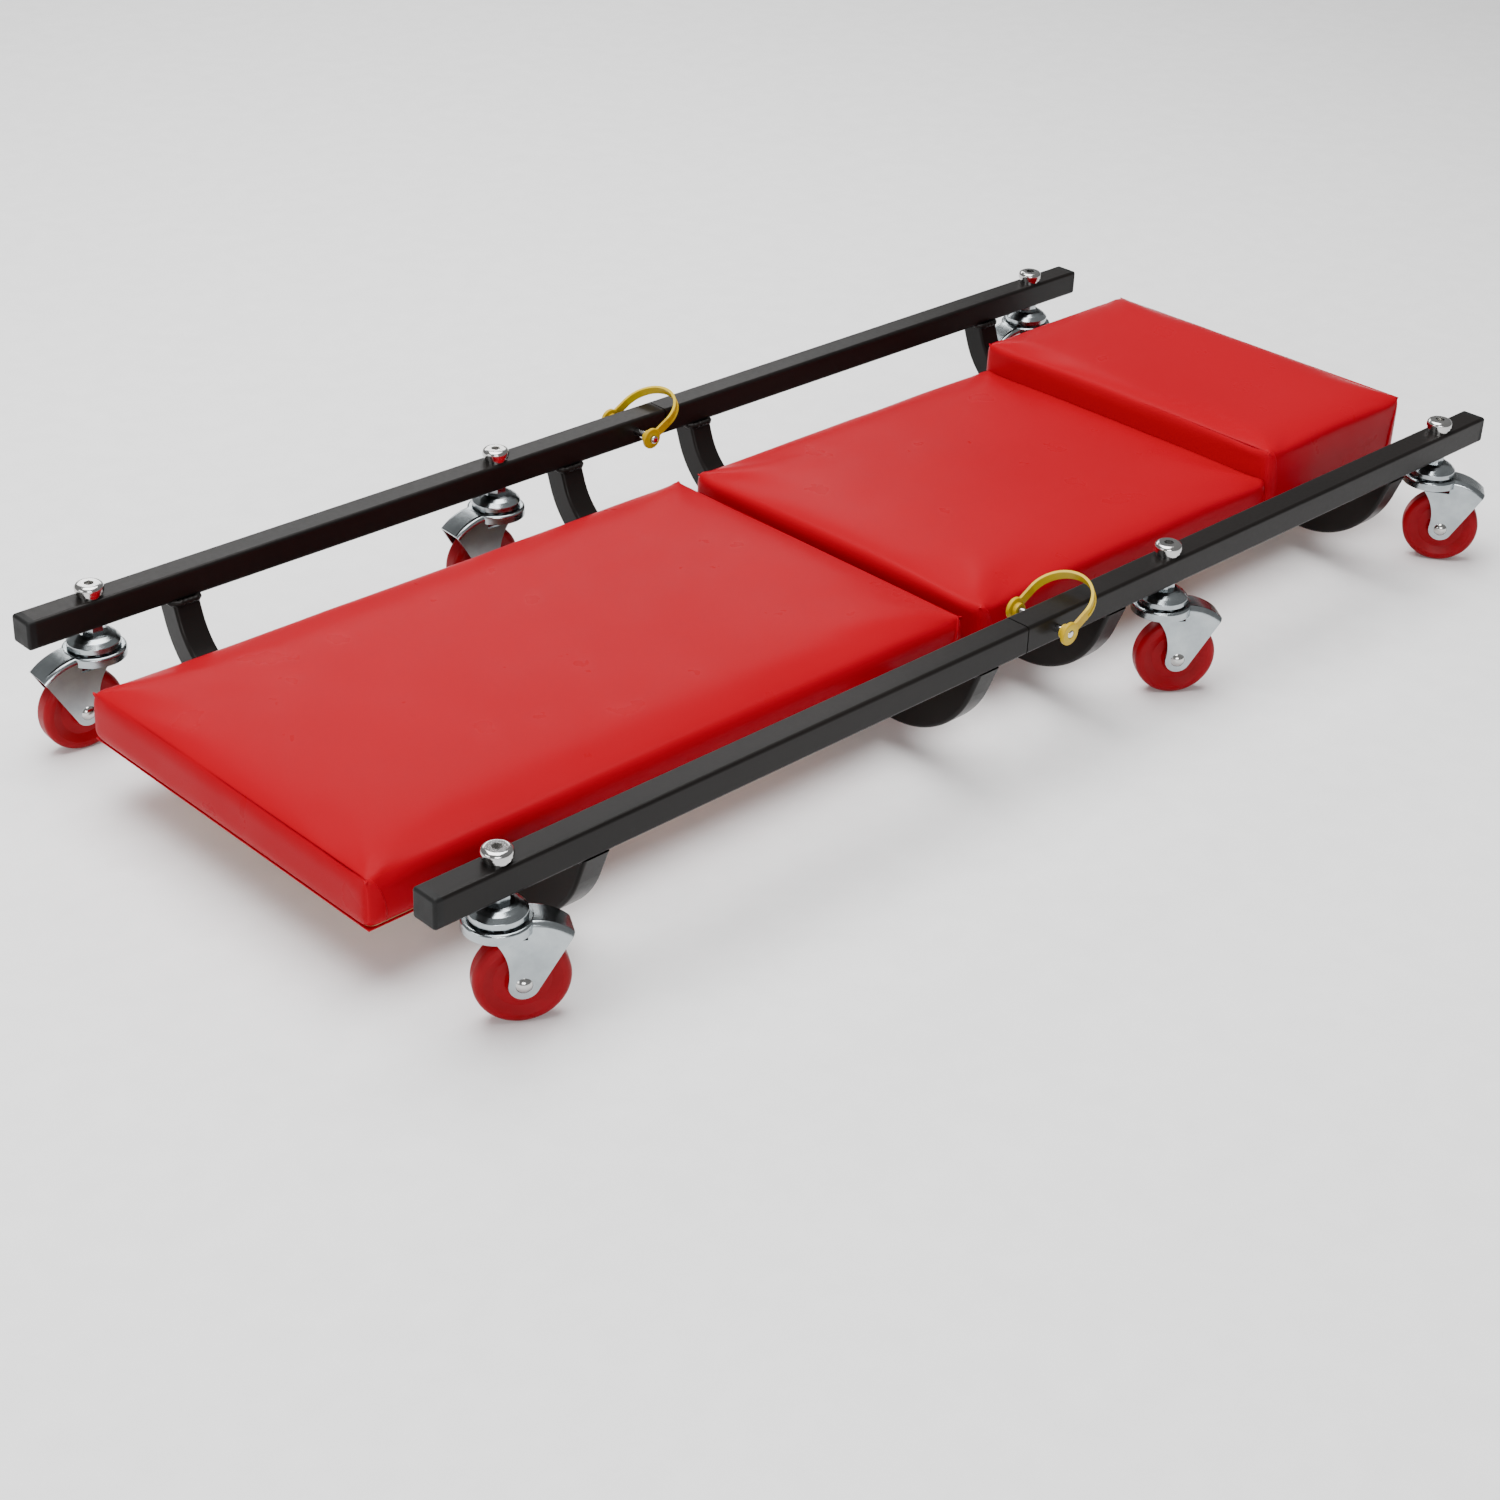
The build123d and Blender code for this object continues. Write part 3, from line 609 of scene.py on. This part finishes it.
def make_staples(name, low, high, body, look):
    """Wire staples that hold the hem to the board."""
    inset = Vector((HEM - 0.006, HEM - 0.006, 0))
    in_low, in_high = low + inset, high - inset
    spots = []
    for side_y in (in_low.y, in_high.y):
        count = int((in_high.x - in_low.x) / STAPLE_PITCH)
        for i in range(count + 1):
            x = in_low.x + (in_high.x - in_low.x) * (i + 0.5 * (i % 2) * 0.2) / (count + 0.2)
            spots.append((x, side_y, 0.12 * math.sin(i * 2.3)))
    for side_x in (in_low.x, in_high.x):
        for i in range(1, 6):
            y = in_low.y + (in_high.y - in_low.y) * i / 6
            spots.append((side_x, y, math.pi / 2 + 0.12 * math.sin(i * 1.7)))
    solids = []
    for x, y, turn in spots:
        along = Vector((math.cos(turn), math.sin(turn), 0))
        across = Vector((-math.sin(turn), math.cos(turn), 0))
        middle = Vector((x, y, BOTTOM - 0.0001))
        route = [
            (-0.005, 0.0012), (-0.0047, 0.0002), (-0.0042, 0.0),
            (0.0042, 0.0), (0.0047, 0.0002), (0.005, 0.0012),
        ]
        verts, faces = [], []
        for reach, lift in route:
            for k in range(6):
                a = math.tau * k / 6
                flat = across * (STAPLE_WIRE * 1.5 * math.cos(a))
                rise = Vector((0, 0, lift + STAPLE_WIRE * math.sin(a)))
                verts.append(middle + along * reach + flat + rise)
        for i in range(len(route) - 1):
            for k in range(6):
                m = (k + 1) % 6
                faces.append((6 * i + k, 6 * i + m, 6 * i + 6 + m, 6 * i + 6 + k))
        faces.append(tuple(range(5, -1, -1)))
        faces.append(tuple(range(6 * len(route) - 6, 6 * len(route))))
        solids.append((verts, faces))
    return new_object(name, merged(name, solids), body, look)


# ---- weld beads ---------------------------------------------------------------------------
WELD_RADIUS = 0.0021
WELD_STEP = 0.0011
WELD_LIFT = 0.0006
# end of the tube's side, how far the bead's corner stands past it, depth in from the rail's side
WELD_CORNERS = (
    (-1, 0.0004, 0.002), (-1, 0.0004, 0.019), (-1, -0.003, 0.0222),
    (1, -0.003, 0.0222), (1, 0.0004, 0.019), (1, 0.0004, 0.002),
)


def bead(path, radius, seed):
    """Rippled weld bead along an open path, closed at its ends."""
    verts, faces = [], []
    ring = 10
    for i, (point, across, up) in enumerate(path):
        ends = min(i, len(path) - 1 - i)
        full = min(1.0, 0.35 + 0.3 * ends)
        ripple = 1 + 0.16 * math.sin(i * 1.9) + 0.14 * noise.noise(Vector((i * 0.5, seed, 0.3)))
        for k in range(ring):
            a = math.tau * k / ring
            verts.append(point + (across * math.cos(a) + up * math.sin(a)) * (radius * full * ripple))
    for i in range(len(path) - 1):
        for k in range(ring):
            m = (k + 1) % ring
            faces.append((ring * i + k, ring * i + m, ring * (i + 1) + m, ring * (i + 1) + k))
    faces.append(tuple(range(ring - 1, -1, -1)))
    faces.append(tuple(range(ring * (len(path) - 1), ring * len(path))))
    return verts, faces


def make_welds(half, look):
    """Weld beads where the crossbars meet the undersides of the rails."""
    solids = []
    rail_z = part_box(f"near_rail_{half}")[0][2]
    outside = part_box(f"far_rail_{half}")[1][1]
    for place in ("inner", "outer"):
        low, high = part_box(f"crossbar_{place}_{half}")
        middle = (low[0] + high[0]) / 2
        reach = (high[0] - low[0]) / 2
        for side in (-1, 1):
            corners = [
                (middle + end * (reach + proud), side * (outside - depth))
                for end, proud, depth in WELD_CORNERS
            ]
            path = []
            for (ax, ay), (bx, by) in zip(corners, corners[1:]):
                length = math.hypot(bx - ax, by - ay)
                count = max(2, int(length / WELD_STEP))
                along = Vector((bx - ax, by - ay, 0)).normalized()
                across = Vector((-along.y, along.x, 0))
                for i in range(count):
                    t = i / count
                    point = Vector((ax + (bx - ax) * t, ay + (by - ay) * t, rail_z - WELD_LIFT))
                    path.append((point, across, Vector((0, 0, 1))))
            solids.append(bead(path, WELD_RADIUS, middle * 40 + side))
    return new_object(f"weld_beads_{half}", merged("beads", solids), f"{half}_half", look)


def make_soft_goods(looks):
    """The three pads with their pleats, hems and staples."""
    vinyl, wire = looks["red_vinyl"], looks["zinc_steel"]
    room = BOARD_ROOM
    foot = make_pad("pad_foot", "cover_foot", "foam_foot", "foot_half", vinyl, (room, room))
    back = make_pad(
        "pad_back", "cover_back", "foam_back", "head_half", vinyl, (room, PAST_END), TUCK
    )
    rest = make_pad(
        "pad_headrest", "cover_headrest", "foam_headrest", "head_half", vinyl, (PAST_END, room)
    )
    make_pleats("pleats_foot", foot, "cover_foot", True, "foot_half", vinyl)
    make_pleats("pleats_back", back, "cover_back", False, "head_half", vinyl)
    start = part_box("cover_back")[1][2] - 0.03
    make_pleats("pleats_headrest", rest, "cover_headrest", True, "head_half", vinyl, z_from=start)
    foot_low, foot_high = (Vector(v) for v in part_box("cover_foot"))
    head_low, head_high = Vector(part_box("cover_back")[0]), Vector(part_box("cover_headrest")[1])
    for half, low, high in (("foot", foot_low, foot_high), ("head", head_low, head_high)):
        make_hem(f"hem_{half}", low, high, f"{half}_half", vinyl)
        make_staples(f"staples_{half}", low, high, f"{half}_half", wire)
        make_welds(half, looks["black_paint"])


make_camera()
make_stage()
make_soft_goods(dress_frame())
